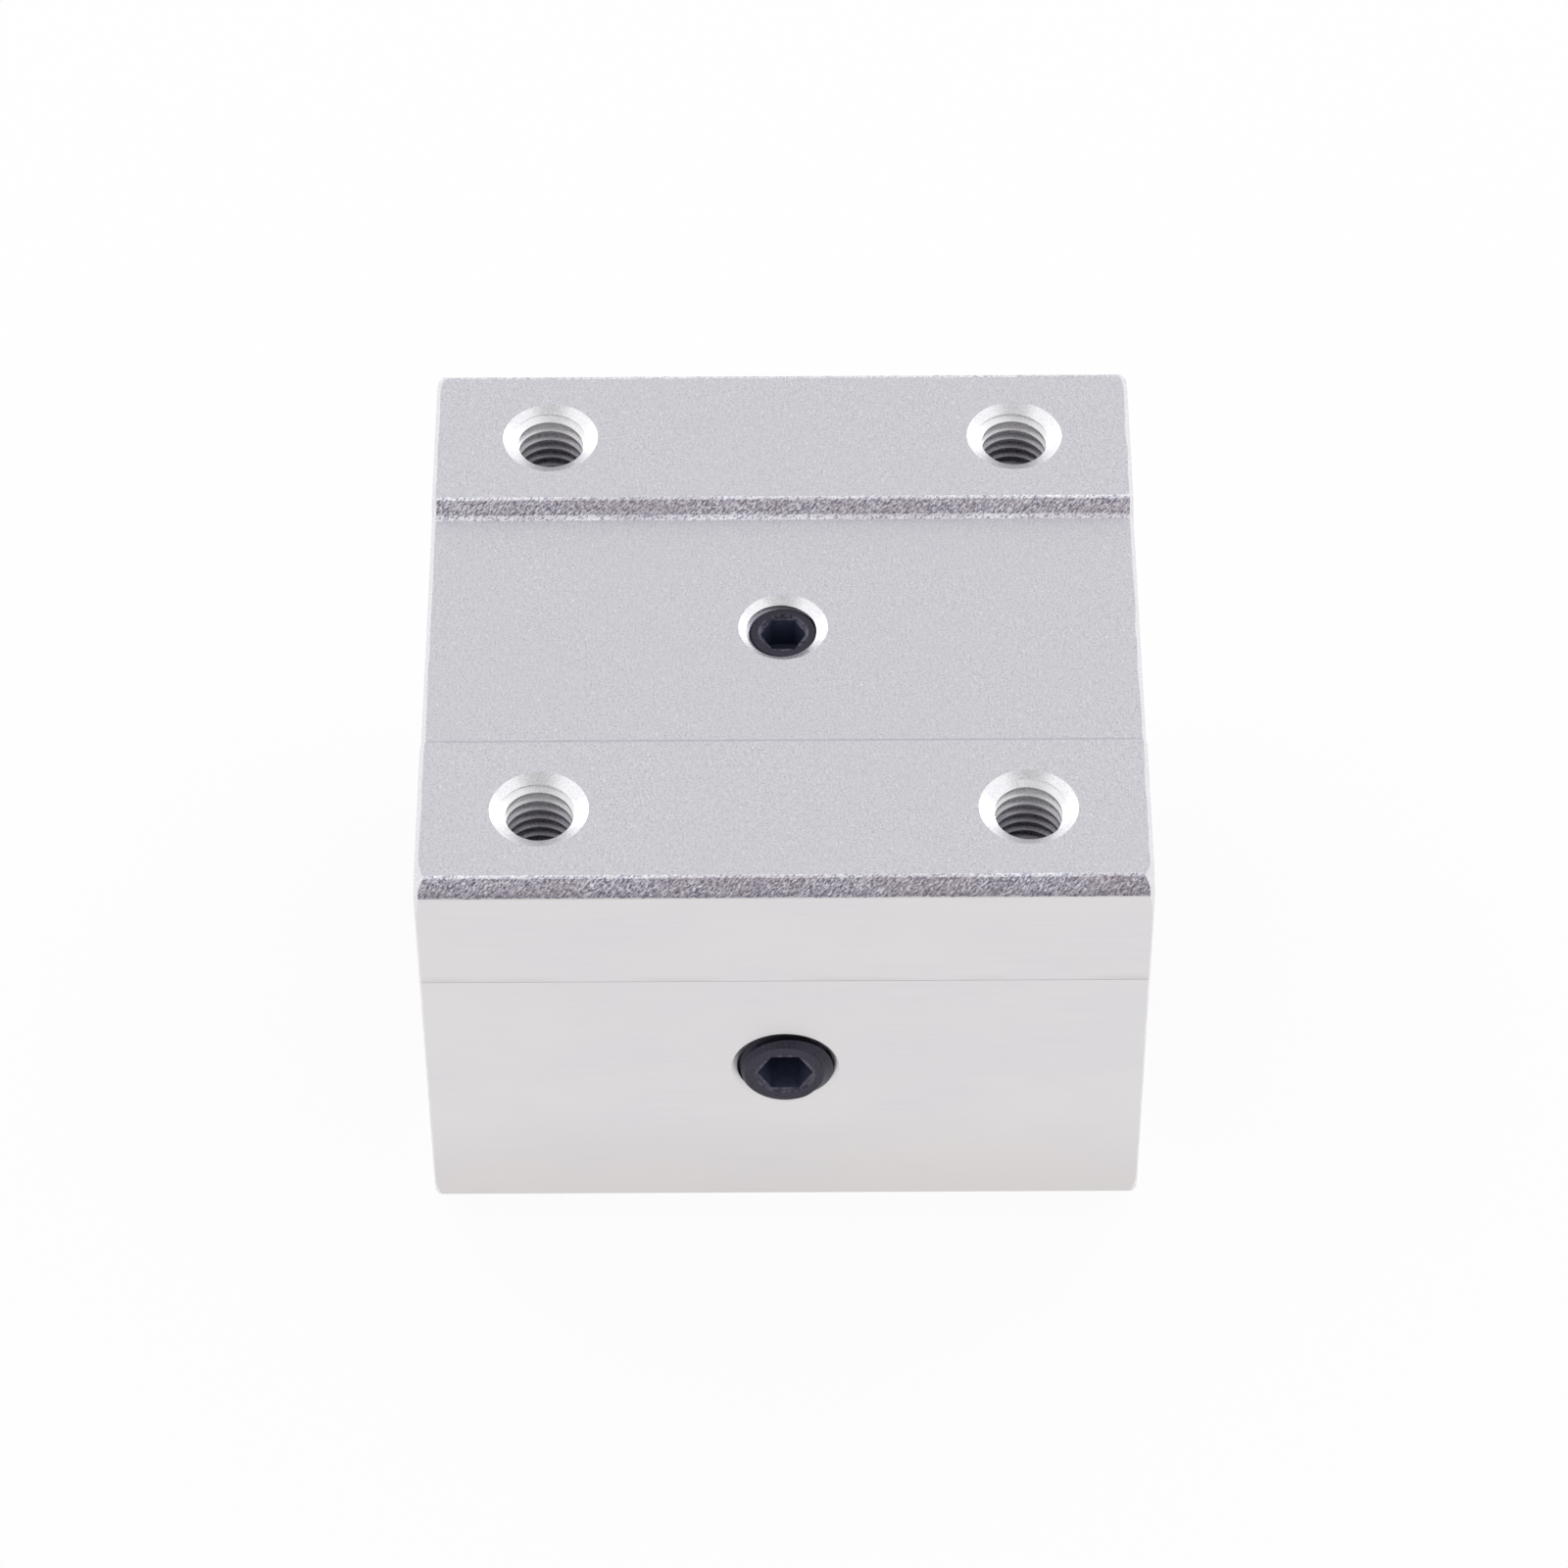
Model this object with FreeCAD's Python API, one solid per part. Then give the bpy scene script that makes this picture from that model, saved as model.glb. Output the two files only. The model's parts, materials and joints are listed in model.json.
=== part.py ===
import FreeCAD, Part
import math
import os
from itertools import combinations

from FreeCAD import Placement, Rotation, Vector

# An open linear ball bearing in its slide block, for a 16 mm shaft that is supported along its length.
# Millimetres. X runs along the shaft, Y across it and Z up. The origin lies in the plane of the feet, in the
# middle of the block's length and width. Angles about the shaft are counted from straight up towards +Y.

# Shaft
shaft_d = 16.0
axis_height = 13.0

# Block
block_length = 45.0
block_width = 45.0
block_height = 33.0
shoulder_chamfer = 1.0
foot_chamfer = 3.0
end_deburr = 0.3
opening_angle = 80.0
bore_d = 28.0
flange_height = 9.0
flank_step = 0.1

# Shallow recess along the top
recess_width = 21.0
recess_depth = 0.9
recess_foot_radius = 0.5

# Countersinks of every tapped hole, and the play of a set screw in its hole
countersink_angle = 120.0
thread_clearance = 0.02

# Tapped fixing holes, as drilled for M5
hole_spacing_x = 30.0
hole_spacing_y = 32.0
fixing_drill_d = 4.2
fixing_thread_depth = 12.0
fixing_thread_runout = 1.5
fixing_countersink_d = 6.1

# Lock screw, M5, down onto the bearing
lock_thread_d = 5.0
lock_length = 5.0
lock_point_gap = 0.06
lock_point_d = 3.5
lock_socket = 2.5
lock_socket_depth = 2.4
lock_countersink_d = 5.6

# Adjusting screw, M6, through the front wall
adjust_thread_d = 6.0
adjust_length = 8.0
adjust_point_gap = 0.91
adjust_height = 15.6
adjust_point_d = 4.0
adjust_socket = 3.0
adjust_socket_depth = 3.0
adjust_countersink_d = 6.9
screw_chamfer = 0.45

# Bearing sleeve
bearing_length = 37.0
bearing_opening = 11.0
sleeve_fit = 0.01
lock_seat_clearance = 0.05
lock_seat_depth = 0.5

# Balls and their four circuits
ball_d = 3.175
ball_play = 0.01
balls_per_circuit = 15
track_straight = 20.0
track_angle = 25.0
loaded_angles = (-108.0, -36.0, 36.0, 108.0)
race_end_gap = 0.2
channel_clearance = 0.1
channel_side_clearance = 0.06
relief_step = 0.1

# Retainer
retainer_gap = 0.35
retainer_outer_gap = 0.05
retainer_length = 30.0
return_floor = 0.55
ledge_depth = 0.9
window_width = 2.75

# End rings and seals
end_piece_fit = 0.02
end_ring_thickness = 1.4
seal_thickness = 1.8
seal_lip_width = 0.6
seal_lip_height = 1.2
seal_lip_gap = 0.02

# Retaining rings in the bore
clip_thickness = 1.2
clip_side_clearance = 0.05
clip_seat_d = 29.4
clip_radial_clearance = 0.05
clip_width = 2.0
clip_end_angle = 6.0
clip_lug_width = 4.0
clip_lug_angle = 16.0
clip_hole_d = 1.8

shaft_r = shaft_d / 2
ball_r = ball_d / 2
bore_r = bore_d / 2
axis = Vector(0, 0, axis_height)
along_shaft = Vector(1, 0, 0)
up = Vector(0, 0, 1)
recess_floor = block_height - recess_depth
front_face = -block_width / 2
bearing_end = bearing_length / 2

# Radii about the shaft, from the inside out
loaded_r = shaft_r + ball_play + ball_r
race_r = loaded_r + ball_r + ball_play
retainer_r = shaft_r + retainer_gap
retainer_outer_r = race_r - retainer_outer_gap
return_r = retainer_r + return_floor + ball_r + ball_play
relief_r = return_r + ball_r + channel_clearance + relief_step
end_piece_r = relief_r - end_piece_fit
sleeve_r = bore_r - sleeve_fit
lock_seat_floor = axis_height + sleeve_r - lock_seat_depth

# Stations along the shaft, from the middle out
race_end = track_straight / 2 - race_end_gap
end_ring_start = retainer_length / 2
seal_start = end_ring_start + end_ring_thickness
seal_face = seal_start + seal_thickness


def polar(radius, angle):
    """The point at this radius and angle about the shaft, as (across, above the axis)."""
    turn = math.radians(angle)
    return radius * math.sin(turn), radius * math.cos(turn)


def closed_face(points):
    """The flat face inside a closed run of straight edges."""
    return Part.Face(Part.makePolygon(points + points[:1]))


def prism(outline):
    """A Y-Z outline extruded over the block's length."""
    face = closed_face([Vector(-block_length / 2, y, z) for y, z in outline])
    return face.extrude(along_shaft * block_length)


def wedge(apex):
    """The prism that widens downwards from this height at the opening's angle."""
    depth = apex + bore_d
    half = depth * math.tan(math.radians(opening_angle / 2))
    return prism([(0, apex), (half, apex - depth), (-half, apex - depth)])


def turned(profile):
    """A profile of (radius, height) points turned about Z."""
    face = closed_face([Vector(radius, 0, height) for radius, height in profile])
    return face.revolve(Vector(), up, 360)


def ring(profile, sweep=360):
    """A profile of (station, radius) points turned about the shaft, evenly to both sides of straight up."""
    face = closed_face([Vector(station, 0, axis_height + radius) for station, radius in profile])
    face.rotate(axis, along_shaft, -sweep / 2)
    return face.revolve(axis, along_shaft, sweep)


def collar(start, end, inner, outer, sweep=360):
    """A plain ring about the shaft."""
    return ring([(start, inner), (end, inner), (end, outer), (start, outer)], sweep)


def rod(radius, start, end, distance, angle):
    """A cylinder parallel to the shaft, at a distance and angle about it."""
    across, above = polar(distance, angle)
    return Part.makeCylinder(radius, end - start, Vector(start, across, axis_height + above), along_shaft)


def mirrored(solid):
    """The same solid at the other end of the block."""
    return solid.mirror(Vector(), along_shaft)


def both_ends(solid):
    """A solid of the +X end with its mirror image."""
    return [solid, mirrored(solid)]


def export(name, *solids):
    """Write the solid or solids of one node."""
    shape = solids[0] if len(solids) == 1 else Part.makeCompound(list(solids))
    shape.exportStep(f"parts/{name}.step")


# Block: an extruded aluminium body, machined where it seats, clamps and carries the bearing


def block_outline():
    """The section with its shoulder and foot chamfers."""
    half = block_width / 2
    right = [
        (half - foot_chamfer, 0),
        (half, foot_chamfer),
        (half, block_height - shoulder_chamfer),
        (half - shoulder_chamfer, block_height),
    ]
    return right + [(-y, z) for y, z in reversed(right)]


def recess_cutter():
    """The shallow channel along the top, with walls at 45 degrees and rounded feet."""
    foot = recess_width / 2 - recess_depth
    spread = foot + 2 * recess_depth
    channel = prism([
        (-foot, recess_floor),
        (foot, recess_floor),
        (spread, recess_floor + 2 * recess_depth),
        (-spread, recess_floor + 2 * recess_depth),
    ])
    feet = [
        edge for edge in channel.Edges
        if edge.BoundBox.XLength > block_length / 2 and edge.BoundBox.ZMax < block_height
    ]
    return channel.makeFillet(recess_foot_radius, feet)


def flank_cutters():
    """Thin slabs that leave the flange a step proud of the flanks below it."""
    for start in (-block_width / 2, block_width / 2 - flank_step):
        yield Part.makeBox(block_length, flank_step, block_height - flange_height,
                           Vector(-block_length / 2, start, 0))


def clip_seat():
    """The groove for a retaining ring beside the end of the bearing."""
    start = bearing_end - clip_side_clearance
    end = bearing_end + clip_thickness + clip_side_clearance
    return collar(start, end, shaft_r, clip_seat_d / 2)


def countersunk(wall_r, mouth_r, depth):
    """A cutter for a round hole with a countersunk mouth at the origin, made downwards."""
    sink = (mouth_r - wall_r) / math.tan(math.radians(countersink_angle / 2))
    return turned([(0, 0), (mouth_r, 0), (wall_r, -sink), (wall_r, -depth), (0, -depth)])


def fixing_hole():
    """A drilled blind hole, long enough for its thread and the tap's lead."""
    depth = fixing_thread_depth + fixing_thread_runout
    return countersunk(fixing_drill_d / 2, fixing_countersink_d / 2, depth)


def screw_hole(thread_d, countersink_d, depth):
    """The hole that a set screw runs in."""
    return countersunk(thread_d / 2 + thread_clearance, countersink_d / 2, depth)


def facing_front(solid, y):
    """A solid made downwards from the origin, turned to run into the block from its front."""
    solid.Placement = Placement(Vector(0, y, adjust_height), Rotation(along_shaft, 90))
    return solid


def bearing_block():
    """The aluminium body, open along the bottom."""
    bore = rod(bore_r, -block_length / 2, block_length / 2, 0, 0)
    block = prism(block_outline()).cut([bore, wedge(axis_height)])
    ends = [edge for edge in block.Edges if edge.BoundBox.XLength < end_deburr]
    block = block.makeChamfer(end_deburr, ends)
    cutters = [recess_cutter(), *flank_cutters(), *both_ends(clip_seat())]
    for x in (-hole_spacing_x / 2, hole_spacing_x / 2):
        for y in (-hole_spacing_y / 2, hole_spacing_y / 2):
            cutters.append(fixing_hole().translated(Vector(x, y, block_height)))
    lock_hole = screw_hole(lock_thread_d, lock_countersink_d, recess_floor - axis_height)
    cutters.append(lock_hole.translated(Vector(0, 0, recess_floor)))
    adjust_hole = screw_hole(adjust_thread_d, adjust_countersink_d, block_width / 2)
    cutters.append(facing_front(adjust_hole, front_face + flank_step))
    return block.cut(cutters)


# Set screws: alloy steel with a black oxide finish


def set_screw(thread_d, length, point_d, socket, socket_depth):
    """A socket set screw, made downwards from the origin, with a flat point."""
    outer = thread_d / 2
    point = point_d / 2
    body = turned([
        (0, 0),
        (outer - screw_chamfer, 0),
        (outer, -screw_chamfer),
        (outer, outer - point - length),
        (point, -length),
        (0, -length),
    ])
    corners = [polar(socket / math.sqrt(3), 60 * i) for i in range(6)]
    hexagon = closed_face([Vector(x, y, -socket_depth) for x, y in corners])
    return body.cut(hexagon.extrude(up * socket_depth))


def lock_screw():
    """The M5 screw, whose point sits in the seat of the sleeve."""
    screw = set_screw(lock_thread_d, lock_length, lock_point_d, lock_socket, lock_socket_depth)
    return screw.translated(Vector(0, 0, lock_seat_floor + lock_point_gap + lock_length))


def adjusting_screw():
    """The M6 screw, backed off a little from the sleeve, which leaves it standing out of the front."""
    screw = set_screw(adjust_thread_d, adjust_length, adjust_point_d, adjust_socket, adjust_socket_depth)
    return facing_front(screw, -sleeve_r - adjust_point_gap - adjust_length)


# Bearing: everything between the block's bore and the shaft


def opened(solid):
    """Cut the bearing's opening, which has its stated width at the shaft and the block's angle."""
    half = bearing_opening / 2
    at_shaft = axis_height - math.sqrt(shaft_r ** 2 - half ** 2)
    return solid.cut(wedge(at_shaft + half / math.tan(math.radians(opening_angle / 2))))


def return_angle(loaded_angle):
    """The angle of a circuit's return track, on the upper side of its loaded track."""
    return loaded_angle - math.copysign(track_angle, loaded_angle)


def circuit_plane(loaded_angle):
    """The placement of a circuit's plane, X along the shaft and Z outwards, and the radius of its turns."""
    tracks = sorted([(loaded_angle, loaded_r), (return_angle(loaded_angle), return_r)])
    (y0, z0), (y1, z1) = [polar(radius, angle) for angle, radius in tracks]
    middle = Vector(0, (y0 + y1) / 2, axis_height + (z0 + z1) / 2)
    tilt = math.degrees(math.atan2(z1 - z0, y1 - y0))
    return Placement(middle, Rotation(along_shaft, tilt)), math.hypot(y1 - y0, z1 - z0) / 2


def stadium(radius, depth):
    """A racetrack-shaped prism, from a depth below a circuit's plane to well outside the retainer."""
    half = track_straight / 2
    tip = half + radius
    near_left, near_right = Vector(-half, -radius, -depth), Vector(half, -radius, -depth)
    far_left, far_right = Vector(-half, radius, -depth), Vector(half, radius, -depth)
    wire = Part.Wire([
        Part.LineSegment(near_left, near_right).toShape(),
        Part.Arc(near_right, Vector(tip, 0, -depth), far_right).toShape(),
        Part.LineSegment(far_right, far_left).toShape(),
        Part.Arc(far_left, Vector(-tip, 0, -depth), near_left).toShape(),
    ])
    return Part.Face(wire).extrude(up * (depth + ball_d))


def circuit_channel(loaded_angle):
    """A circuit's channel, with ledges that narrow its loaded track to a window no ball can pass."""
    plane, turn_r = circuit_plane(loaded_angle)
    half_channel = ball_r + channel_side_clearance
    floor = ball_r + ball_play
    cut = stadium(turn_r + half_channel, floor).cut(stadium(turn_r - half_channel, floor))
    loaded_side = math.copysign(turn_r, loaded_angle)
    ledge_width = half_channel - window_width / 2
    for edge in (loaded_side - half_channel, loaded_side + window_width / 2):
        corner = Vector(-track_straight / 2, edge, -floor)
        cut = cut.cut(Part.makeBox(track_straight, ledge_width, floor - ledge_depth, corner))
    cut.Placement = plane
    return cut


def ball_retainer():
    """The moulded cage, whose channels break through to the shaft along the loaded tracks."""
    half = retainer_length / 2
    cage = opened(collar(-half, half, retainer_r, retainer_outer_r))
    return cage.cut([circuit_channel(angle) for angle in loaded_angles])


def outer_sleeve():
    """The hardened shell, with its raceway, return channels and wider ends."""
    right = [
        (bearing_end, sleeve_r),
        (bearing_end, relief_r),
        (race_end, relief_r),
        (race_end, race_r),
    ]
    shell = opened(ring(right + [(-station, radius) for station, radius in reversed(right)]))
    cuts = [
        rod(ball_r + channel_clearance, -race_end, race_end, return_r, return_angle(angle))
        for angle in loaded_angles
    ]
    seat_r = lock_point_d / 2 + lock_seat_depth + lock_seat_clearance
    cuts.append(Part.makeCylinder(seat_r, bore_r, Vector(0, 0, lock_seat_floor), up))
    return shell.cut(cuts)


def ball():
    """A ball as the twenty-sided solid whose corners all lie on the true sphere."""
    half_edge = 1.0
    reach = half_edge * (1 + math.sqrt(5)) / 2
    corners = []
    for short in (-half_edge, half_edge):
        for long in (-reach, reach):
            corners += [Vector(0, short, long), Vector(short, long, 0), Vector(long, 0, short)]
    faces = []
    for triple in combinations(corners, 3):
        if max(one.distanceToPoint(other) for one, other in combinations(triple, 2)) > 3 * half_edge:
            continue
        first, second, third = [corner * (ball_r / corner.Length) for corner in triple]
        outwards = (second - first).cross(third - first).dot(first) > 0
        faces.append(closed_face([first, second, third] if outwards else [first, third, second]))
    return Part.makeSolid(Part.makeShell(faces))


def on_track(distance, turn_r):
    """The point this far round a circuit, in its own plane."""
    half_lap = track_straight + math.pi * turn_r
    way = distance % half_lap
    if way < track_straight:
        point = Vector(way - track_straight / 2, -turn_r, 0)
    else:
        turn = (way - track_straight) / turn_r
        point = Vector(track_straight / 2 + turn_r * math.sin(turn), -turn_r * math.cos(turn), 0)
    return point if distance < half_lap else point * -1


def ball_circuit(loaded_angle):
    """The balls of one circuit, evenly spaced round it."""
    plane, turn_r = circuit_plane(loaded_angle)
    pitch = 2 * (track_straight + math.pi * turn_r) / balls_per_circuit
    pattern = ball()
    return [
        pattern.translated(plane.multVec(on_track(i * pitch, turn_r)))
        for i in range(balls_per_circuit)
    ]


def end_ring():
    """The resin ring that closes the channels and backs the seal."""
    return opened(collar(end_ring_start, seal_start, retainer_r, end_piece_r))


def end_seal():
    """The rubber seal, with a thin lip that wipes the shaft."""
    lip_r = shaft_r + seal_lip_gap
    root_r = lip_r + seal_lip_height
    return opened(ring([
        (seal_start, root_r),
        (seal_start, end_piece_r),
        (seal_face, end_piece_r),
        (seal_face, lip_r),
        (seal_face - seal_lip_width, lip_r),
        (seal_face - seal_lip_width, root_r),
    ]))


def retaining_ring():
    """The flat spring ring in the bore, with a lug and a plier hole at each side of its gap."""
    start = bearing_end
    end = start + clip_thickness
    outer = clip_seat_d / 2 - clip_radial_clearance
    sweep = 360 - opening_angle - 2 * clip_end_angle
    lug_middle = (sweep - clip_lug_angle) / 2
    clip = collar(start, end, outer - clip_width, outer, sweep)
    for angle in (-lug_middle, lug_middle):
        lug = collar(start, end, outer - clip_lug_width, outer, clip_lug_angle)
        clip = clip.fuse(lug.rotated(axis, along_shaft, -angle))
        clip = clip.cut(rod(clip_hole_d / 2, start, end, outer - clip_lug_width / 2, angle))
    return clip.removeSplitter()


os.makedirs("parts", exist_ok=True)

export("bearing_block", bearing_block())
export("lock_screw", lock_screw())
export("adjusting_screw", adjusting_screw())
export("outer_sleeve", outer_sleeve())
export("ball_retainer", ball_retainer())
for number, angle in enumerate(loaded_angles, 1):
    export(f"ball_circuit_{number}", *ball_circuit(angle))
for name, make in (("end_ring", end_ring), ("end_seal", end_seal), ("retaining_ring", retaining_ring)):
    right = make()
    export(f"{name}_right", right)
    export(f"{name}_left", mirrored(right))
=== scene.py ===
import json
import math

import bmesh
import bpy
from mathutils import Matrix, Vector, noise


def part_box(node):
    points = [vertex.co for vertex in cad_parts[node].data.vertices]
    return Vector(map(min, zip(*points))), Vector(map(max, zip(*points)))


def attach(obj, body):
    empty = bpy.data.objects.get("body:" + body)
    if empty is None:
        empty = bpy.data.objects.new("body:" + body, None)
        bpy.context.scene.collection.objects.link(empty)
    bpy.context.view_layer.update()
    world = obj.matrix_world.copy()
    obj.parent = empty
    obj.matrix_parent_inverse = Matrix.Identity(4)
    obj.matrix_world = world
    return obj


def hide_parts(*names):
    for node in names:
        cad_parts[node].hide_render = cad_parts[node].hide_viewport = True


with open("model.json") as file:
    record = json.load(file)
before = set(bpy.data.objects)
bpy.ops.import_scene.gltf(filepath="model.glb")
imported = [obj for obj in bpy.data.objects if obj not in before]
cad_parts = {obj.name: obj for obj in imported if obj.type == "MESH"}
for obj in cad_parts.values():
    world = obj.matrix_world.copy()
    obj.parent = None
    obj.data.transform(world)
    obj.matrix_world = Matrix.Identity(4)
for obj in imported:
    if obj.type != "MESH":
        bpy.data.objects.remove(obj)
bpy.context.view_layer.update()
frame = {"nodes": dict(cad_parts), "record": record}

mm = 0.001

# ---------------------------------------------------------------------------------------------------------
# The slide block: an extruded aluminium section, machined on its pads and flanges, bead-blasted and clear
# anodised. Its end edges were broken by hand, so they wander and glint, and four M5 holes are tapped in it.
# ---------------------------------------------------------------------------------------------------------

mounts = {mount["name"]: mount for mount in frame["record"]["mounts"]}
block_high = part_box("bearing_block")[1]
shaft_axis = mounts["shaft_bore"]["pos_m"][2]
bore_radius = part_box("outer_sleeve")[1].y + 0.01 * mm
ring_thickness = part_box("retaining_ring_right")[1].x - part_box("retaining_ring_right")[0].x
ring_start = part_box("retaining_ring_right")[0].x

flange_height = 8.75 * mm
shoulder = 1.0 * mm


def linear(code):
    """A colour from its sRGB hex code."""
    channels = [int(code[i:i + 2], 16) / 255 for i in (1, 3, 5)]
    return tuple(c / 12.92 if c <= 0.04045 else ((c + 0.055) / 1.055) ** 2.4 for c in channels) + (1.0,)


def add_node(finish, kind, inputs=None, **settings):
    """Add one shader node to a finish, with its settings, values and links."""
    made = finish.node_tree.nodes.new(kind)
    for name, value in settings.items():
        setattr(made, name, value)
    for name, value in (inputs or {}).items():
        if isinstance(value, bpy.types.NodeSocket):
            finish.node_tree.links.new(value, made.inputs[name])
        else:
            made.inputs[name].default_value = value
    return made


def new_finish(name, **values):
    """A material with one surface shader, whose plain values are set on its own sockets."""
    finish = bpy.data.materials.new(name)
    finish.use_nodes = True
    surface = finish.node_tree.nodes["Principled BSDF"]
    for socket, value in values.items():
        surface.inputs[socket.replace("_", " ").title().replace("Ior", "IOR")].default_value = value
    return finish, surface


def blend_colours(finish, amount, first, second):
    """The colour output of a mix of two sRGB codes or sockets."""
    colours = [linear(colour) if isinstance(colour, str) else colour for colour in (first, second)]
    mix = add_node(finish, "ShaderNodeMix", {0: amount, 6: colours[0], 7: colours[1]}, data_type="RGBA")
    return mix.outputs[2]


def spread(finish, value, low, high, to_low=0.0, to_high=1.0):
    """A value stretched from one range to another and clamped there."""
    return add_node(finish, "ShaderNodeMapRange", {
        "Value": value, "From Min": low, "From Max": high, "To Min": to_low, "To Max": to_high,
    }).outputs["Result"]


def part_space(finish):
    """The place of each point in the part's own frame."""
    return add_node(finish, "ShaderNodeTexCoord").outputs["Object"]


def grain(finish, size, stretch=(1, 1, 1), turn=(0, 0, 0), detail=2.0, roughness=0.5):
    """Noise whose grains have this real length, drawn out along some axes and turned by some degrees."""
    drawn = add_node(finish, "ShaderNodeMapping", {
        "Vector": part_space(finish),
        "Rotation": [math.radians(angle) for angle in turn],
        "Scale": [size * s for s in stretch],
    }, vector_type="TEXTURE").outputs["Vector"]
    return add_node(finish, "ShaderNodeTexNoise", {
        "Vector": drawn, "Scale": 1.0, "Detail": detail, "Roughness": roughness,
    }).outputs["Fac"]


def raise_surface(finish, surface, height, depth):
    """Bump of this real depth on a finish."""
    bump = add_node(finish, "ShaderNodeBump", {"Height": height, "Distance": depth, "Strength": 1.0})
    finish.node_tree.links.new(bump.outputs["Normal"], surface.inputs["Normal"])


def colour_surface(finish, surface, colour, roughness=None):
    """Lead a colour, and a roughness if there is one, to the surface shader."""
    finish.node_tree.links.new(colour, surface.inputs["Base Color"])
    if roughness:
        finish.node_tree.links.new(roughness, surface.inputs["Roughness"])


def blasted_pads():
    """Bead-blasted, anodised aluminium: a matt violet-grey with fine painted glints and faint milling
    lines.
    """
    finish, surface = new_finish("blasted_aluminium", metallic=1.0)
    grit = grain(finish, 0.13 * mm, detail=2.0, roughness=0.6)
    lines = grain(finish, 0.11 * mm, stretch=(1, 5, 1))
    painted_sparks = grain(finish, 0.15 * mm, stretch=(1, 3, 1), turn=(0, 0, 8), detail=1.0)
    clouds = grain(finish, 5 * mm)
    speckle = blend_colours(finish, spread(finish, grit, 0.35, 0.65), "#B4B3BA", "#DAD9DE")
    drawn = blend_colours(finish, spread(finish, lines, 0.35, 0.65, 0.0, 0.6), speckle, "#D3D2D7")
    # Painted highlight: small bright sparks are painted into the colour as glints.
    lit = blend_colours(finish, spread(finish, painted_sparks, 0.6, 0.76, 0.0, 0.45), drawn, "#EEEDF1")
    colour = blend_colours(finish, spread(finish, clouds, 0.35, 0.65, 0.0, 0.25), lit, "#CCCBD1")
    colour_surface(finish, surface, colour, spread(finish, grit, 0.3, 0.7, 0.4, 0.52))
    raise_surface(finish, surface, grit, 0.008 * mm)
    return finish


def drawn_flanks():
    """The same aluminium, drawn smooth: paler, with level streaks, painted shade that darkens and warms the
    foot, and a dull flange edge.
    """
    finish, surface = new_finish("drawn_aluminium", metallic=1.0)
    streaks = grain(finish, 0.2 * mm, stretch=(25, 1, 1), detail=3.0)
    clouds = grain(finish, 4 * mm, stretch=(2, 1, 1))
    height = add_node(finish, "ShaderNodeSeparateXYZ", {0: part_space(finish)}).outputs["Z"]
    flange = block_high.z - flange_height
    silk = blend_colours(finish, spread(finish, streaks, 0.3, 0.7), "#DCDADC", "#E0DEE0")
    cloudy = blend_colours(finish, spread(finish, clouds, 0.35, 0.65, 0.0, 0.5), silk, "#E4E0E0")
    # Painted shade: the flank turns darker and warmer towards its foot, near the floor.
    shaded_foot = blend_colours(finish, spread(finish, height, 11 * mm, 0.0, 0.0, 0.6), cloudy, "#D1C9C7")
    above = spread(finish, height, flange, flange + 0.03 * mm)
    rubbed = add_node(finish, "ShaderNodeMath", {
        0: above, 1: spread(finish, height, flange + 0.6 * mm, flange, 0.0, 0.5),
    }, operation="MULTIPLY")
    patchy = add_node(finish, "ShaderNodeMath", {
        0: rubbed.outputs[0], 1: spread(finish, clouds, 0.4, 0.6),
    }, operation="MULTIPLY")
    colour = blend_colours(finish, patchy.outputs[0], shaded_foot, "#BDBABD")
    colour_surface(finish, surface, colour, spread(finish, streaks, 0.3, 0.7, 0.34, 0.42))
    raise_surface(finish, surface, streaks, 0.002 * mm)
    return finish


def coarse_crust(name, pit, body, glint, glint_from, foot_shade):
    """A slope left as extruded and then blasted: a crust of short slanting ridges, with painted glints on
    its ridges and painted shade in its pits and towards its lower edge.
    """
    finish, surface = new_finish(name, metallic=1.0)
    crust = grain(finish, 0.15 * mm, stretch=(1.8, 0.8, 0.8), turn=(0, -30, 35), detail=3.0, roughness=0.75)
    tints = grain(finish, 2.5 * mm, stretch=(2.5, 1, 1))
    # Partly the extruded skin's own darker tone, partly painted shade: the crust's hollows are darker, and
    # the whole slope is set darker than the pads for the dark that it mirrors.
    shaded_pits = blend_colours(finish, spread(finish, crust, 0.38, 0.52), pit, body)
    # Painted highlight: the highest grains of the crust are painted white as glints.
    painted_glints = blend_colours(finish, spread(finish, crust, glint_from, glint_from + 0.1), shaded_pits, glint)
    tinted = blend_colours(finish, spread(finish, tints, 0.4, 0.6, 0.0, 0.25), painted_glints, "#A8959F")
    height = add_node(finish, "ShaderNodeSeparateXYZ", {0: part_space(finish)}).outputs["Z"]
    foot = block_high.z - shoulder
    # Painted shade: the slope turns darker towards its lower edge.
    painted_foot_shade = spread(finish, height, foot + 0.4 * mm, foot, 0.0, foot_shade)
    colour = blend_colours(finish, painted_foot_shade, tinted, "#4C4A58")
    colour_surface(finish, surface, colour, spread(finish, crust, 0.4, 0.65, 0.5, 0.25))
    raise_surface(finish, surface, crust, 0.06 * mm)
    return finish


def cut_metal(name, marked, clear):
    """Freshly cut aluminium with fine cutter marks: almost white in countersinks, greyer at end edges."""
    finish, surface = new_finish(name, metallic=0.8)
    marks = grain(finish, 0.14 * mm, detail=2.0)
    colour = blend_colours(finish, spread(finish, marks, 0.35, 0.65), marked, clear)
    colour_surface(finish, surface, colour, spread(finish, marks, 0.3, 0.7, 0.16, 0.28))
    raise_surface(finish, surface, marks, 0.008 * mm)
    return finish


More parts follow.
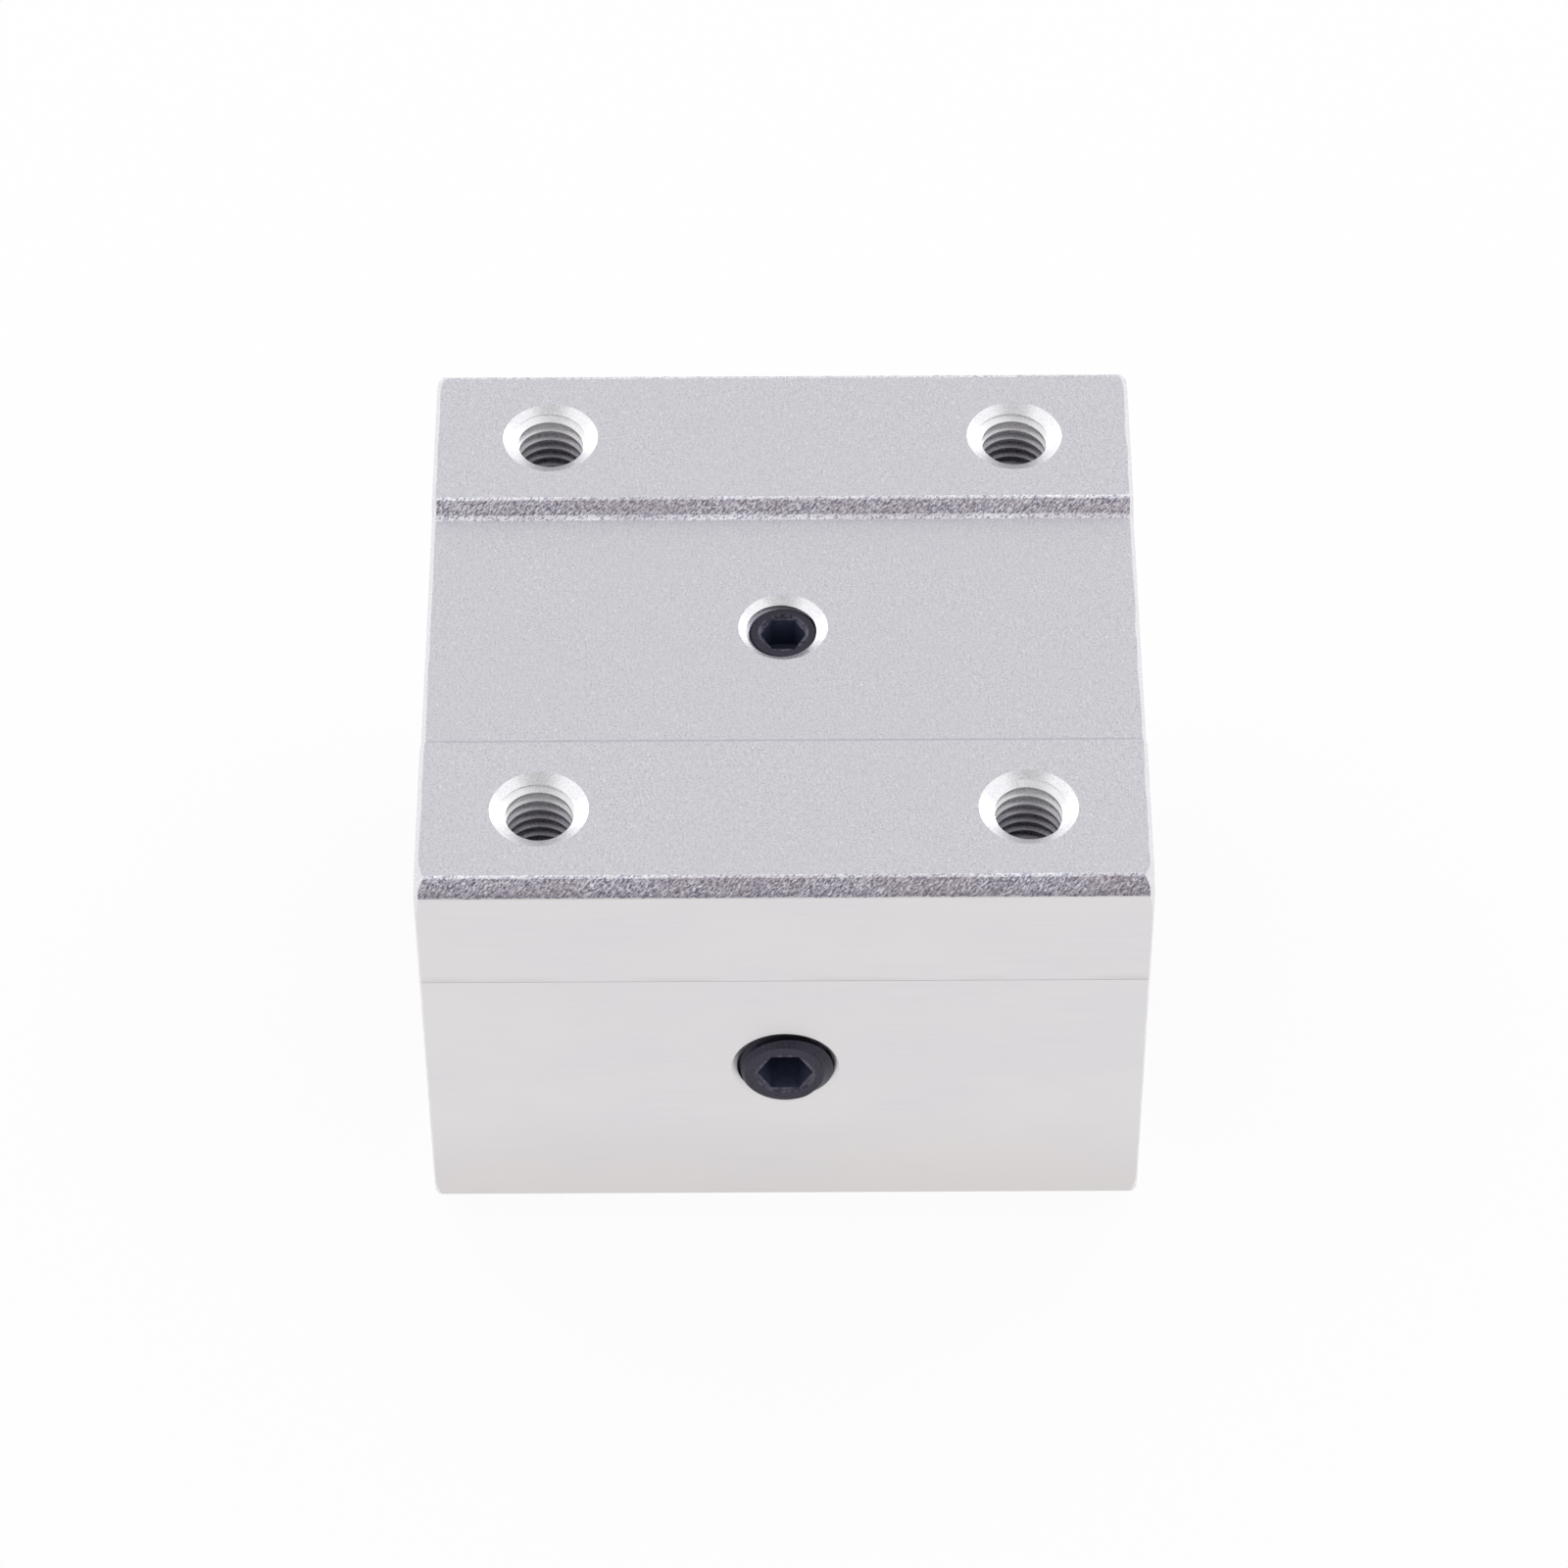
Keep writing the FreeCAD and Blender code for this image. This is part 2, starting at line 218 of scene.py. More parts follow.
def tapped_walls(name, mouth_highlight):
    """A tapped thread, blasted and anodised with the rest: painted light makes it bright near the mouth,
    and it is dull deeper down.
    """
    finish, surface = new_finish(name, metallic=0.6)
    torn = grain(finish, 0.12 * mm, detail=2.0)
    height = add_node(finish, "ShaderNodeSeparateXYZ", {0: part_space(finish)}).outputs["Z"]
    dull = blend_colours(finish, spread(finish, torn, 0.3, 0.7), "#9E9BA5", "#B9B6BF")
    # Painted light: the thread is painted almost white near the mouth, where light falls in.
    mouth = spread(finish, height, block_high.z - 3.2 * mm, block_high.z - 1.2 * mm, 0.0, mouth_highlight)
    colour = blend_colours(finish, mouth, dull, "#FBFAFC")
    colour_surface(finish, surface, colour, spread(finish, torn, 0.3, 0.7, 0.25, 0.38))
    raise_surface(finish, surface, torn, 0.01 * mm)
    return finish


def bored_walls():
    """The bored seat of the bearing, with the fine rings that a boring tool leaves along the axis."""
    finish, surface = new_finish("bored_aluminium", metallic=1.0)
    rings = grain(finish, 0.15 * mm, stretch=(1, 60, 60))
    colour = blend_colours(finish, spread(finish, rings, 0.35, 0.65), "#C9C8CC", "#DEDDE0")
    colour_surface(finish, surface, colour, spread(finish, rings, 0.3, 0.7, 0.24, 0.36))
    raise_surface(finish, surface, rings, 0.008 * mm)
    return finish


BLASTED, DRAWN, COARSE, WALL, PAINTED_GLINT, CUT, TAPPED, DULL, BORED, EDGE = range(10)
ROUGH = {COARSE, WALL, PAINTED_GLINT}
block_finishes = [
    blasted_pads(),
    drawn_flanks(),
    # The three crusts are one material in darker and lighter copies: the recess wall is painted a little
    # lighter, and the last copy, on the lip of the recess and the torn edges of the pads, is painted almost
    # white as a painted highlight.
    coarse_crust("coarse_aluminium", "#6D6874", "#BFBAC8", "#FFFFFF", 0.54, 0.4),
    coarse_crust("coarse_recess_aluminium", "#706B77", "#CAC5D3", "#FFFFFF", 0.53, 0.15),
    coarse_crust("painted_glint_aluminium", "#9A98B0", "#F4F2FF", "#FFFFFF", 0.46, 0.0),
    cut_metal("cut_aluminium", "#F1EFF7", "#FFFFFF"),
    tapped_walls("tapped_aluminium", 1.0),
    tapped_walls("dull_tapped_aluminium", 0.0),
    bored_walls(),
    cut_metal("edge_aluminium", "#E1DFE6", "#EEEDF0"),
]


def new_piece(name, mesh, materials):
    """An object in the scene with its finishes."""
    piece = bpy.data.objects.new(name, mesh)
    bpy.context.scene.collection.objects.link(piece)
    for material in materials:
        piece.data.materials.append(material)
    return piece


def skin(name, rings, materials, finish=lambda ring, side: 0, caps=(0, 0)):
    """A closed mesh over rings of points, joined one to the next, with a flat cap on each end."""
    shape = bmesh.new()
    loops = [[shape.verts.new(point) for point in ring] for ring in rings]
    count = len(rings[0])
    for index, (near, far) in enumerate(zip(loops, loops[1:])):
        for side in range(count):
            after = (side + 1) % count
            face = shape.faces.new((near[side], near[after], far[after], far[side]))
            face.material_index = finish(index, side)
    ends = [shape.faces.new(loop) for loop in (loops[0], loops[-1])]
    for end, cap in zip(ends, caps):
        end.material_index = cap
        end.normal_update()
    bmesh.ops.triangulate(shape, faces=ends)
    bmesh.ops.remove_doubles(shape, verts=shape.verts, dist=0.0005 * mm)
    bmesh.ops.recalc_face_normals(shape, faces=shape.faces)
    mesh = bpy.data.meshes.new(name)
    shape.to_mesh(mesh)
    shape.free()
    return new_piece(name, mesh, materials)


def turned(name, profile, materials, finish=lambda ring, side: 0, caps=(0, 0), sides=96):
    """A closed mesh turned about Z from (radius, height) points."""
    turns = [2 * math.pi * side / sides for side in range(sides)]
    rings = [[Vector((r * math.cos(t), r * math.sin(t), z)) for t in turns] for r, z in profile]
    return skin(name, rings, materials, finish, caps)


def wound(name, section, pitch, start, end, materials, finish=0, steps=48):
    """A right-handed rib wound about Z, from the (radius, height) points of its section."""
    rings = []
    for step in range(round((end - start) / pitch * steps) + 1):
        turn = 2 * math.pi * step / steps
        lift = start + pitch * step / steps
        rings.append([Vector((r * math.cos(turn), r * math.sin(turn), lift + z)) for r, z in section])
    return skin(name, rings, materials, lambda ring, side: finish, (finish, finish))


def carve(piece, cutter):
    """Cut one closed mesh out of another, keeping the finish of both."""
    cut = piece.modifiers.new("carve", "BOOLEAN")
    cut.operation = "DIFFERENCE"
    cut.solver = "MANIFOLD"
    cut.object = cutter
    bpy.context.view_layer.update()
    carved = bpy.data.meshes.new_from_object(piece.evaluated_get(bpy.context.evaluated_depsgraph_get()))
    piece.modifiers.clear()
    piece.data = carved
    carved.name = piece.name
    bpy.data.objects.remove(cutter)


weld_distance = 0.005 * mm


def weld(piece):
    """Merge the points that a cut leaves almost on top of each other, with the slivers between them."""
    shape = bmesh.new()
    shape.from_mesh(piece.data)
    bmesh.ops.remove_doubles(shape, verts=shape.verts, dist=weld_distance)
    bmesh.ops.dissolve_degenerate(shape, edges=shape.edges, dist=weld_distance)
    bmesh.ops.triangulate(shape, faces=[face for face in shape.faces if len(face.verts) > 4])
    bmesh.ops.dissolve_degenerate(shape, edges=shape.edges, dist=weld_distance)
    shape.to_mesh(piece.data)
    shape.free()


def shade(piece, crease=math.radians(28)):
    """Smooth shading, broken where the surface turns by more than the crease."""
    piece.data.shade_smooth()
    piece.data.set_sharp_from_angle(angle=crease)


def ease_corners(corners, steps=4):
    """Round (y, z, radius, finish of the arc, finish after it) corners with short arcs."""
    points = []
    for index, (y, z, radius, on_arc, finish) in enumerate(corners):
        here = Vector((y, z))
        back = (Vector(corners[index - 1][:2]) - here).normalized()
        onward = (Vector(corners[(index + 1) % len(corners)][:2]) - here).normalized()
        if not radius:
            points.append((here, finish))
            continue
        half_turn = back.angle(onward) / 2
        centre = here + (back + onward).normalized() * radius / math.sin(half_turn)
        first, last = [here + way * radius / math.tan(half_turn) - centre for way in (back, onward)]
        for step in range(steps + 1):
            arm = first.lerp(last, step / steps).normalized() * radius
            points.append((centre + arm, on_arc if step < steps else finish))
    return points


half_opening = math.radians(40)
flank_step = 0.1 * mm
foot_chamfer = 3.0 * mm
recess_width = 21 * mm
recess_depth = 0.9 * mm
recess_foot = 0.5 * mm
witness_depth = 0.02 * mm
witness_width = 0.16 * mm
eased = 0.08 * mm
flange_eased = 0.6 * eased
shoulder_eased = 3.5 * eased
foot_eased = 0.3 * mm
torn = 0.3 * mm


def half_section(edge_radius, edge_finish, wall_finish):
    """One half of the block's section, from foot to recess, with the recess's edge and wall as given."""
    side = block_high.y
    top = block_high.z
    foot = side - foot_chamfer
    flank = side - flank_step
    flange = top - flange_height
    return [
        (shaft_axis * math.tan(half_opening), 0, eased, DRAWN, DRAWN),
        (foot, 0, foot_eased, DRAWN, DRAWN),
        (flank, foot_chamfer - flank_step, foot_eased, DRAWN, DRAWN),
        (flank, flange - witness_width, 0, DRAWN, DRAWN),
        (flank - witness_depth, flange - witness_width + witness_depth, 0, DRAWN, DRAWN),
        (flank - witness_depth, flange, 0, DRAWN, DRAWN),
        (side, flange, flange_eased, DRAWN, DRAWN),
        (side, top - shoulder, shoulder_eased, DRAWN, COARSE),
        (side - shoulder, top, torn, PAINTED_GLINT, BLASTED),
        (recess_width / 2, top, edge_radius, edge_finish, wall_finish),
        (recess_width / 2 - recess_depth, top - recess_depth, recess_foot, edge_finish, BLASTED),
    ]


outline_step = 0.3 * mm
facet = 0.12 * mm


def block_section():
    """The whole section as (point, finish) pairs, with the bore's arc as the last stretch."""
    right = half_section(torn, PAINTED_GLINT, WALL)
    front = half_section(eased, BLASTED, BLASTED)
    left = []
    for index in range(len(front) - 1, -1, -1):
        y, z, radius, on_arc, _ = front[index]
        left.append((-y, z, radius, on_arc, front[index - 1][4] if index else BORED))
    opening = math.pi - half_opening
    mouth = bore_radius * math.sin(opening), shaft_axis + bore_radius * math.cos(opening)
    corners = right + left + [(-mouth[0], mouth[1], 0, BORED, BORED), (mouth[0], mouth[1], 0, BORED, BORED)]
    outline = []
    points = ease_corners(corners)
    arc_start = len(points) - 2
    for index, (point, finish) in enumerate(points):
        after = points[(index + 1) % len(points)][0]
        if index == arc_start:
            steps = math.ceil(2 * opening * bore_radius / outline_step)
            for step in range(steps):
                turn = opening * (2 * step / steps - 1)
                arm = Vector((math.sin(turn), math.cos(turn))) * bore_radius
                outline.append((arm + Vector((0, shaft_axis)), finish))
            continue
        steps = max(1, round((after - point).length / (facet if finish in ROUGH else outline_step)))
        outline += [(point.lerp(after, step / steps), finish) for step in range(steps)]
    return outline


edge_break = 0.3 * mm
edge_wander = 0.09 * mm
wander_length = 2.2 * mm
ends_apart = 7.0
fine_wander = 0.3
flank_break = 0.4
corner_break = 0.4 * mm
corner_reach = 1.2 * mm
least_break = 0.08 * mm


def break_width(point, end):
    """How wide the hand-broken edge is here: it wanders, narrows on the flanks and grows at the corners."""
    place = Vector((end * ends_apart, point.x, point.y)) / wander_length
    fine = noise.noise(place * 4) * fine_wander
    width = edge_break + edge_wander * (noise.noise(place) + fine)
    if abs(point.x) > block_high.y - shoulder / 2:
        below = (block_high.z - shoulder - point.y) / corner_reach
        width *= 1 - (1 - flank_break) * min(max(below, 0), 1)
    for corner in ((block_high.y - shoulder, block_high.z), (block_high.y, foot_chamfer)):
        from_corner = (Vector((abs(point.x), point.y)) - Vector(corner)).length
        width += corner_break * max(0, 1 - from_corner / corner_reach) ** 2
    return max(width, least_break)


corner_sweep = 0.8 * mm
break_run = 0.9


def further_on(outline, index, way):
    """The first point of the outline that lies some way on from this one."""
    walked = 0
    while walked < corner_sweep:
        walked += (outline[index][0] - outline[(index + way) % len(outline)][0]).length
        index = (index + way) % len(outline)
    return outline[index][0]


def block_rings(outline):
    """The section at each end face and just behind its broken edge."""
    inward = []
    for index in range(len(outline)):
        along = further_on(outline, index, 1) - further_on(outline, index, -1)
        inward.append(Vector((-along.y, along.x)).normalized())
    rings = []
    for end in (-1, 1):
        face, side = [], []
        for (point, _), way in zip(outline, inward):
            width = break_width(point, end)
            inner = point + way * width
            face.append(Vector((end * block_high.x, inner.x, inner.y)))
            side.append(Vector((end * (block_high.x - width * break_run), point.x, point.y)))
        rings += [face, side] if end < 0 else [side, face]
    return rings


def swept_body():
    """The body before its holes."""
    outline = block_section()

    def finish(ring, side):
        return outline[side][1] if ring == 1 else EDGE

    return skin("slide_block", block_rings(outline), block_finishes, finish, (BLASTED, BLASTED))


seat_radius = 14.7 * mm
seat_play = 0.05 * mm


def ring_seat(end):
    """A cutter for the groove of a retaining ring, with a little play beside it."""
    half = ring_thickness / 2 + seat_play
    profile = [(0.1 * mm, -half), (seat_radius, -half), (seat_radius, half), (0.1 * mm, half)]
    seat = turned("seat", profile, block_finishes, lambda ring, side: BORED, (BORED, BORED), sides=180)
    place = Matrix.Translation((end * (ring_start + ring_thickness / 2), 0, shaft_axis))
    seat.matrix_world = place @ Matrix.Rotation(math.pi / 2, 4, "Y")
    return seat


crust_depth = 0.05 * mm
crust_grain = 0.22 * mm
ragged_edge = 0.07 * mm


def roughen(piece):
    """Cut the coarse slopes into small facets and push them in and out, within the block's own size."""
    shape = bmesh.new()
    shape.from_mesh(piece.data)
    stations = math.ceil(2 * block_high.x / facet)
    ahead = [face for face in shape.faces if face.material_index in ROUGH]
    for number in range(1, stations):
        station = block_high.x * (2 * number / stations - 1)
        parts = {part for face in ahead for part in (face, *face.edges, *face.verts)}
        made = bmesh.ops.bisect_plane(shape, geom=list(parts), plane_co=(station, 0, 0), plane_no=(1, 0, 0))
        ahead = [part for part in made["geom"] if isinstance(part, bmesh.types.BMFace)
                 and part.calc_center_median().x > station]
    for vert in shape.verts:
        met = {face.material_index for face in vert.link_faces}
        rough = met & ROUGH
        if not rough or CUT in met or EDGE in met:
            continue
        x, y, z = vert.co / crust_grain
        push = noise.noise(Vector((x + z, y, 1.6 * z))) + 0.5 * noise.noise(Vector((x, y, z)) * 2.3)
        if met == rough:
            vert.co += vert.normal * push * crust_depth
        else:
            flat = next(face.normal for face in vert.link_faces if face.material_index not in rough)
            vert.co += flat.cross(Vector((1, 0, 0))) * push * ragged_edge
        vert.co.y = min(max(vert.co.y, -block_high.y), block_high.y)
        vert.co.z = min(vert.co.z, block_high.z)
    shape.to_mesh(piece.data)
    shape.free()


fixing_pitch = 0.8 * mm
fixing_minor = mounts["fixing_holes"]["dims"]["hole_r_mm"] * mm
fixing_major = 2.53 * mm
fixing_mouth = 3.05 * mm
fixing_depth = 13.5 * mm
fixing_threaded = 12 * mm
fixing_starts = {(-1, -1): -22, (-1, 1): -85, (1, -1): -144, (1, 1): -30}
crest_flat = 0.05 * mm
thread_slope = math.tan(math.radians(30))
countersink_slope = math.tan(math.radians(30))
lead_in = 1 * mm
drill_point = 1.2 * mm


def plain_hole(radius, mouth, depth, sink=CUT, wall=TAPPED):
    """A cutter for a countersunk hole, made downwards from the origin, with its drill point."""
    sunk = (mouth - radius) * countersink_slope
    profile = [
        (mouth + lead_in, lead_in),
        (mouth + lead_in, 0.01 * mm),
        (mouth, 0),
        (radius, -sunk),
        (radius, -depth),
        (0.1 * mm, -depth - drill_point),
    ]

    def finish(ring, side):
        return sink if ring < 3 else wall

    return turned("drill", profile, block_finishes, finish, (sink, wall))


def thread_groove(minor, major, pitch, depth, finish=TAPPED):
    """A cutter for the groove of a tapped thread that starts above its hole."""
    core = minor - 0.1 * mm
    widest = crest_flat + (major - core) * thread_slope
    section = [(core, -widest), (major, -crest_flat), (major, crest_flat), (core, widest)]
    return wound("groove", section, pitch, -depth, pitch, block_finishes, finish)


block = swept_body()
for end in (-1, 1):
    carve(block, ring_seat(end))
pattern = mounts["fixing_holes"]["dims"]
for (side_x, side_y), start in fixing_starts.items():
    hole_x = side_x * pattern["spacing_x_mm"] / 2 * mm
    hole_y = side_y * pattern["spacing_y_mm"] / 2 * mm
    drill = plain_hole(fixing_minor, fixing_mouth, fixing_depth)
    groove = thread_groove(fixing_minor, fixing_major, fixing_pitch, fixing_threaded)
    groove.rotation_euler.z = math.radians(start)
    for cutter in (drill, groove):
        cutter.location = (hole_x, hole_y, block_high.z)
        carve(block, cutter)

lock_low, lock_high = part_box("lock_screw")
adjust_low, adjust_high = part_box("adjusting_screw")
recess_floor = block_high.z - recess_depth
flank_y = block_high.y - flank_step
adjust_axis = (adjust_low.z + adjust_high.z) / 2
lock_minor = 2.12 * mm
lock_mouth = 2.8 * mm
adjust_mouth = 3.38 * mm
thread_play = 0.02 * mm
to_front = Matrix.Rotation(math.pi / 2, 4, "X")

for cutter in (
    plain_hole(lock_minor, lock_mouth, recess_floor - shaft_axis, CUT, DULL),
    thread_groove(lock_minor, fixing_major, fixing_pitch, 8 * fixing_pitch, DULL),
):
    cutter.location.z = recess_floor
    carve(block, cutter)
adjust_hole = plain_hole(adjust_high.x + thread_play, adjust_mouth, flank_y, DRAWN, DULL)
adjust_hole.matrix_world = Matrix.Translation((0, -flank_y, adjust_axis)) @ to_front
carve(block, adjust_hole)

weld(block)
roughen(block)
weld(block)
shade(block)
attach(block, "block")
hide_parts("bearing_block")

# ---------------------------------------------------------------------------------------------------------
# The two set screws: socket screws of hardened steel with rolled threads and a black oxide finish. The M5
# one locks the bearing from the recess, and the M6 one in the front wall sets its play on the shaft.
# ---------------------------------------------------------------------------------------------------------


def black_oxide():
    """Black oxide on hardened steel: blue-black and thin, with a soft, slightly oily shine."""
    finish, surface = new_finish("black_oxide_steel", metallic=0.3, specular_ior_level=0.3)
    scale = grain(finish, 0.18 * mm, detail=3.0)
    colour = blend_colours(finish, spread(finish, scale, 0.35, 0.65), "#292835", "#363441")
    colour_surface(finish, surface, colour, spread(finish, scale, 0.3, 0.7, 0.26, 0.42))
    raise_surface(finish, surface, scale, 0.006 * mm)
    return finish


def rubbed_mouth():
    """The mouth of a socket, where keys have rubbed the oxide down to violet-grey steel."""
    finish, surface = new_finish("rubbed_black_steel", metallic=0.6)
    rubs = grain(finish, 0.3 * mm, detail=2.0)
    colour = blend_colours(finish, spread(finish, rubs, 0.4, 0.6), "#2F2E39", "#565362")
    colour_surface(finish, surface, colour, spread(finish, rubs, 0.3, 0.7, 0.3, 0.45))
    raise_surface(finish, surface, rubs, 0.006 * mm)
    return finish


def lit_socket_walls():
    """The walls of a socket: thick oxide, painted lighter and navy blue as painted light that falls into
    the socket.
    """
    finish, surface = new_finish("socket_lit_black_steel", metallic=0.0, specular_ior_level=0.3)
    socket_mottle = grain(finish, 0.4 * mm, detail=2.0)
    # Painted light: the socket walls are a lighter, bluer copy of the black oxide, for the light that falls
    # in.
    colour = blend_colours(finish, spread(finish, socket_mottle, 0.35, 0.65), "#363C51", "#40465C")
    colour_surface(finish, surface, colour, spread(finish, socket_mottle, 0.3, 0.7, 0.5, 0.6))
    raise_surface(finish, surface, socket_mottle, 0.004 * mm)
    return finish


OXIDE, RUBBED, PAINTED_SOCKET_LIGHT = range(3)
screw_finishes = [black_oxide(), rubbed_mouth(), lit_socket_walls()]


thread_height = 0.57
screw_chamfer = 0.45 * mm
past_crest = 0.06 * mm
root_flat = 0.1 * mm
socket_point = 0.4
mouth_reach = 0.16 * mm
mouth_wall = 0.2 * mm
mouth_depth = 0.16 * mm


def socket_cutter(corner, depth):
    """A cutter for a hexagon socket, with the shallow point that its broach leaves."""
    turns = [math.pi / 3 * side for side in range(6)]
    profile = [(corner, lead_in), (corner, -depth), (0.05 * mm, -depth - corner * socket_point)]
    hexagon = [[Vector((r * math.cos(t), r * math.sin(t), z)) for t in turns] for r, z in profile]
    return skin("socket", hexagon, screw_finishes, lambda ring, side: PAINTED_SOCKET_LIGHT, (PAINTED_SOCKET_LIGHT, PAINTED_SOCKET_LIGHT))


def set_screw(name, radius, length, pitch, lead, socket, socket_depth, point_radius):
    """A socket set screw, made downwards from the origin. The lead lifts its thread into mesh."""
    root = radius - thread_height * pitch
    body = turned(name, [
        (radius - screw_chamfer, 0),
        (radius, -screw_chamfer),
        (radius, radius - point_radius - length),
        (point_radius, -length),
    ], screw_finishes)
    out = radius + past_crest
    flare = root_flat + (out - root) * thread_slope
    section = [(out, -flare), (root, -root_flat), (root, root_flat), (out, flare)]
    turns = math.ceil(length / pitch) + 1
    carve(body, wound("groove", section, pitch, lead - turns * pitch, lead + pitch, screw_finishes))
    corner = socket / math.sqrt(3)
    carve(body, socket_cutter(corner, socket_depth))
    mouth = corner + mouth_reach
    cone = [(mouth + lead_in, lead_in), (mouth, 0), (mouth - mouth_wall, -mouth_depth)]
    carve(body, turned("mouth", cone, screw_finishes, lambda ring, side: RUBBED, (RUBBED, RUBBED)))
    return body


lock_lead = (recess_floor - lock_high.z + fixing_pitch / 2) % fixing_pitch
lock_length = lock_high.z - lock_low.z
lock = set_screw(
    "lock_set_screw", radius=lock_high.x - thread_play, length=lock_length, pitch=fixing_pitch,
    lead=lock_lead, socket=2.5 * mm, socket_depth=2.4 * mm, point_radius=1.75 * mm,
)
lock.location.z = lock_high.z
weld(lock)
shade(lock)
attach(lock, "lock_screw")
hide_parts("lock_screw")

adjust_length = adjust_high.y - adjust_low.y
adjust = set_screw(
    "adjusting_set_screw", radius=adjust_high.x, length=adjust_length, pitch=1.0 * mm,
    lead=0, socket=3.0 * mm, socket_depth=3.0 * mm, point_radius=2.0 * mm,
)
adjust.matrix_world = Matrix.Translation((0, adjust_low.y, adjust_axis)) @ to_front
weld(adjust)
shade(adjust)
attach(adjust, "adjusting_screw")
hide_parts("adjusting_screw")

# ---------------------------------------------------------------------------------------------------------
# The bearing: a ground steel sleeve, a moulded cage and four circuits of polished steel balls.
# ---------------------------------------------------------------------------------------------------------


def ground_steel():
    """Hardened bearing steel, ground all over: bright grey with fine lines round it."""
    finish, surface = new_finish("ground_bearing_steel", metallic=1.0)
    lines = grain(finish, 0.06 * mm, stretch=(1, 80, 80))
    colour = blend_colours(finish, spread(finish, lines, 0.35, 0.65), "#B4B4B3", "#CCCCCB")
    colour_surface(finish, surface, colour, spread(finish, lines, 0.3, 0.7, 0.2, 0.3))
    raise_surface(finish, surface, lines, 0.003 * mm)
    return finish


def moulded_cage():
    """Moulded acetal in its natural colour: a milky, waxy off-white with faint flow marks."""
    finish, surface = new_finish("moulded_acetal", roughness=0.4, ior=1.48)
    flow = grain(finish, 2.5 * mm, stretch=(3, 1, 1))
    pores = grain(finish, 0.15 * mm)
    colour = blend_colours(finish, spread(finish, flow, 0.3, 0.7), "#DAD6C8", "#E6E3D8")
    colour_surface(finish, surface, colour)
    raise_surface(finish, surface, pores, 0.005 * mm)
    return finish


def polished_balls():
    """Through-hardened chrome steel balls, lapped to a mirror."""
    finish, surface = new_finish("lapped_ball_steel", metallic=1.0)
    oil = grain(finish, 1.1 * mm)
    colour = blend_colours(finish, spread(finish, oil, 0.3, 0.7), "#D2D2D2", "#E0E0E0")
    colour_surface(finish, surface, colour, spread(finish, oil, 0.3, 0.7, 0.06, 0.14))
    return finish


def dress(node, finish):
    """Give a solid that keeps its own shape its finish."""
    solid = frame["nodes"][node]
    solid.data.materials.clear()
    solid.data.materials.append(finish)
    shade(solid)


def ball_centres(node):
    """The middle of each loose solid of a circuit."""
    shape = bmesh.new()
    shape.from_mesh(frame["nodes"][node].data)
    bmesh.ops.remove_doubles(shape, verts=shape.verts, dist=0.001 * mm)
    left = set(shape.verts)
    centres = []
    while left:
        group = {left.pop()}
        edge = set(group)
        while edge:
            edge = {link.other_vert(vert) for vert in edge for link in vert.link_edges} - group
            group |= edge
        left -= group
        centres.append(sum((vert.co for vert in group), Vector()) / len(group))
    shape.free()
    return sorted(centres, key=lambda centre: tuple(centre))


ball_radius = 3.175 / 2 * mm


def ball_row(name, centres, finish):
    """The balls of one circuit as smooth spheres."""
    shape = bmesh.new()
    for centre in centres:
        place = Matrix.Translation(centre)
        bmesh.ops.create_icosphere(shape, subdivisions=4, radius=ball_radius, matrix=place)
    mesh = bpy.data.meshes.new(name)
    shape.to_mesh(mesh)
    shape.free()
    mesh.shade_smooth()
    return new_piece(name, mesh, [finish])


dress("outer_sleeve", ground_steel())
dress("ball_retainer", moulded_cage())
ball_finish = polished_balls()
for number in range(1, 5):
    node = f"ball_circuit_{number}"
    balls = ball_row(f"smooth_balls_{number}", ball_centres(node), ball_finish)
    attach(balls, "block")
    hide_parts(node)

# ---------------------------------------------------------------------------------------------------------
# The ends of the bearing: a black resin ring closes the cage, and a rubber seal in front of it wipes the
# shaft. Phosphated spring-steel rings in the block's bore hold the bearing along its axis.
# ---------------------------------------------------------------------------------------------------------


def moulded_rings():
    """Glass-filled nylon, moulded black, with a satin skin."""
    finish, surface = new_finish("black_nylon", roughness=0.5, ior=1.53)
    skin_marks = grain(finish, 0.1 * mm)
    colour_surface(finish, surface, blend_colours(finish, skin_marks, "#1B1B1C", "#28282A"))
    raise_surface(finish, surface, skin_marks, 0.006 * mm)
    return finish


def nitrile_seals():
    """Nitrile rubber, moulded smooth: black, and a little grey where the light grazes it."""
    finish, surface = new_finish("nitrile_rubber", roughness=0.55, ior=1.52, sheen_weight=0.15)
    bloom = grain(finish, 0.8 * mm, detail=3.0)
    colour_surface(finish, surface, blend_colours(finish, bloom, "#131314", "#222224"),
                   spread(finish, bloom, 0.3, 0.7, 0.48, 0.62))
    raise_surface(finish, surface, grain(finish, 0.12 * mm), 0.005 * mm)
    return finish


def phosphated_spring():
    """Phosphated spring steel: a dark, slightly mottled grey with a dry shine."""
    finish, surface = new_finish("phosphated_steel", metallic=0.85)
    crystals = grain(finish, 0.1 * mm, detail=3.0)
    colour = blend_colours(finish, spread(finish, crystals, 0.35, 0.65), "#3A3A3C", "#58585B")
    colour_surface(finish, surface, colour, spread(finish, crystals, 0.3, 0.7, 0.38, 0.52))
    raise_surface(finish, surface, crystals, 0.006 * mm)
    return finish


end_finishes = {
    "end_ring": moulded_rings(),
    "end_seal": nitrile_seals(),
    "retaining_ring": phosphated_spring(),
}
for piece_name, finish in end_finishes.items():
    for side in ("left", "right"):
        dress(f"{piece_name}_{side}", finish)

